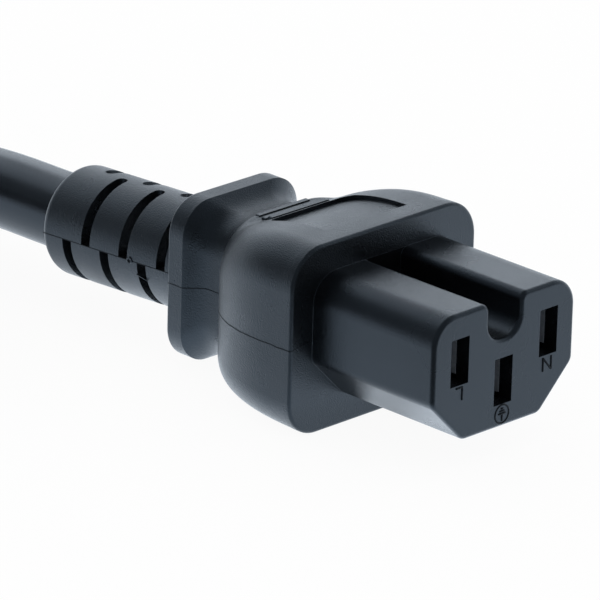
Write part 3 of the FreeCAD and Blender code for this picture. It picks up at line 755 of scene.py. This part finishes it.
# Floor, backdrop and light
stageSet = {
    "floorSize": 6,
    "floorColor": (0.93, 0.93, 0.93),
    "shadowShare": 0.06,
    "floorGloss": 1.3,           # what the lit floor shows in the gloss
    "paintedFrontShade": 0.147,         # painted shade: what the floor in front shows in the gloss
    "frontWay": (-0.707, -0.707, 0),
    "frontFrom": 36.33,
    "frontTo": 48.83,
    "underSide": (-22, -15),
    # painted glow beneath the moulding, seen only in the gloss: share, where it rises, where it falls
    "paintedUnderGlow": ((1.4, (-16, -10), (22, 30)), (1.6, (-37, -33), (-26, -20))),
    "worldLight": 0.9,
    "overhead": 0.245,           # what the ceiling shows in the gloss
    "overheadFrom": 0.61,
    "overheadTo": 0.845,
    "backdrop": 1.0,             # what the wall behind shows in the gloss
    "backdropTurn": 60,
    "backdropFrom": -0.2,
    "backdropTo": 0.8,
    "coolLight": (0.83, 0.91, 1.0),     # the room's tone in the gloss
    "lampColor": (0.90, 0.95, 1.0),
    "panelEnergy": 0.6,
    "panelSize": (0.7, 0.3),
    "panelPlace": (0.62, 0.60, 0.36),
    "softEnergy": 0.4,
    "softSize": (0.5, 0.4),
    "softTurn": 0,
    "softLift": 46,
    "softAway": 0.9,
}


def addStep(tree, source, start, end, low, high):
    node = tree.nodes.new("ShaderNodeMapRange")
    node.interpolation_type = "SMOOTHSTEP"
    for socket, value in (("From Min", start), ("From Max", end), ("To Min", low), ("To Max", high)):
        node.inputs[socket].default_value = value
    tree.links.new(source, node.inputs["Value"])
    return node.outputs["Result"]


def addAlong(tree, place, way):
    # how far a place lies along a direction
    along = tree.nodes.new("ShaderNodeVectorMath")
    along.operation = "DOT_PRODUCT"
    along.inputs[1].default_value = way
    tree.links.new(place, along.inputs[0])
    return along.outputs["Value"]


def addMirrored(tree):
    path = tree.nodes.new("ShaderNodeLightPath")
    mirrored = addMath(tree, "MAXIMUM", path.outputs["Is Glossy Ray"], path.outputs["Is Transmission Ray"])
    return path.outputs["Is Camera Ray"], mirrored


def addCoolTone(tree, mirrored):
    # white to the camera, cool where the gloss mirrors it
    tone = tree.nodes.new("ShaderNodeMix")
    tone.data_type = "RGBA"
    tone.inputs["A"].default_value = (1, 1, 1, 1)
    tone.inputs["B"].default_value = (*stageSet["coolLight"], 1)
    tree.links.new(mirrored, tone.inputs["Factor"])
    return tone.outputs["Result"]


def addFloorGloss(tree):
    # the gloss sees the floor painted dark in front, as dark edges, and painted brightest under the part
    place = tree.nodes.new("ShaderNodeTexCoord").outputs["Object"]
    toward = addAlong(tree, place, stageSet["frontWay"])
    gloss = addStep(tree, toward, stageSet["frontFrom"] * mm, stageSet["frontTo"] * mm,
                    stageSet["floorGloss"], stageSet["paintedFrontShade"])
    split = tree.nodes.new("ShaderNodeSeparateXYZ")
    tree.links.new(place, split.inputs["Vector"])
    start, end = (value * mm for value in stageSet["underSide"])
    beneath = addStep(tree, split.outputs["X"], start, end, 0, 1)
    for share, rise, fall in stageSet["paintedUnderGlow"]:
        grow = addStep(tree, split.outputs["Y"], rise[0] * mm, rise[1] * mm, 0, share - 1)
        fade = addStep(tree, split.outputs["Y"], fall[0] * mm, fall[1] * mm, 1, 0)
        extra = addMath(tree, "MULTIPLY", addMath(tree, "MULTIPLY", grow, fade), beneath)
        gloss = addMath(tree, "MULTIPLY", gloss, addMath(tree, "ADD", extra, 1))
    return gloss


def makeFloor():
    bpy.ops.mesh.primitive_plane_add(size=stageSet["floorSize"], location=(0, 0, 0))
    floor = bpy.context.object
    floor.name = "paleFloor"
    paint = bpy.data.materials.new("paleFloor")
    paint.use_nodes = True
    tree = paint.node_tree
    tree.nodes.clear()
    out = tree.nodes.new("ShaderNodeOutputMaterial")
    matte = tree.nodes.new("ShaderNodeBsdfDiffuse")
    matte.inputs["Color"].default_value = (*stageSet["floorColor"], 1)
    white = tree.nodes.new("ShaderNodeEmission")
    onCamera, mirrored = addMirrored(tree)
    tree.links.new(addCoolTone(tree, mirrored), white.inputs["Color"])
    offCamera = addMath(tree, "SUBTRACT", 1, onCamera)
    glow = addMath(tree, "ADD", addMath(tree, "MULTIPLY", addFloorGloss(tree), offCamera), onCamera)
    tree.links.new(glow, white.inputs["Strength"])
    seen = addMath(tree, "MAXIMUM", onCamera, mirrored)
    mix = tree.nodes.new("ShaderNodeMixShader")
    tree.links.new(addMath(tree, "MULTIPLY", seen, 1 - stageSet["shadowShare"]), mix.inputs["Fac"])
    tree.links.new(matte.outputs["BSDF"], mix.inputs[1])
    tree.links.new(white.outputs["Emission"], mix.inputs[2])
    tree.links.new(mix.outputs["Shader"], out.inputs["Surface"])
    floor.data.materials.append(paint)


def makeWorld():
    world = bpy.data.worlds.new("studio")
    bpy.context.scene.world = world
    world.use_nodes = True
    tree = world.node_tree
    back = tree.nodes["Background"]
    onCamera, mirrored = addMirrored(tree)
    # the gloss sees a bright backdrop behind the connector, and a dim room to the sides and above
    place = tree.nodes.new("ShaderNodeTexCoord").outputs["Generated"]
    turn = math.radians(stageSet["backdropTurn"])
    behind = addAlong(tree, place, (math.sin(turn), math.cos(turn), 0))
    height = addAlong(tree, place, (0, 0, 1))
    across = addStep(tree, behind, stageSet["backdropFrom"], stageSet["backdropTo"], 0, 1)
    below = addStep(tree, height, stageSet["overheadFrom"], stageSet["overheadTo"], 1, 0)
    backdrop = addMath(tree, "MULTIPLY", across, below)
    backdrop = addMath(tree, "MULTIPLY", backdrop, stageSet["backdrop"] - stageSet["overhead"])
    room = addMath(tree, "ADD", backdrop, stageSet["overhead"])
    plain = addMath(tree, "SUBTRACT", 1, mirrored)
    level = addMath(tree, "ADD", addMath(tree, "MULTIPLY", room, mirrored),
                    addMath(tree, "MULTIPLY", plain, stageSet["worldLight"]))
    level = addMath(tree, "MAXIMUM", level, onCamera)
    tree.links.new(level, back.inputs["Strength"])
    tree.links.new(addCoolTone(tree, mirrored), back.inputs["Color"])


def makeLamp(name, energy, size, place):
    lamp = bpy.data.lights.new(name, "AREA")
    lamp.shape = "RECTANGLE"
    lamp.size, lamp.size_y = size
    lamp.energy = energy
    lamp.color = stageSet["lampColor"]
    holder = bpy.data.objects.new(name, lamp)
    bpy.context.collection.objects.link(holder)
    holder.location = place
    holder.rotation_euler = (Vector(place) - faceCentre).to_track_quat("Z", "Y").to_euler()


def makeLamps():
    turn, lift = math.radians(stageSet["softTurn"]), math.radians(stageSet["softLift"])
    softWay = Vector((math.sin(turn) * math.cos(lift), math.cos(turn) * math.cos(lift), math.sin(lift)))
    makeLamp("lowPanel", stageSet["panelEnergy"], stageSet["panelSize"], stageSet["panelPlace"])
    makeLamp("softBox", stageSet["softEnergy"], stageSet["softSize"], softWay * stageSet["softAway"])


makeFloor()
makeWorld()
makeLamps()
bpy.context.scene.view_settings.view_transform = "Standard"
print("stage lit")
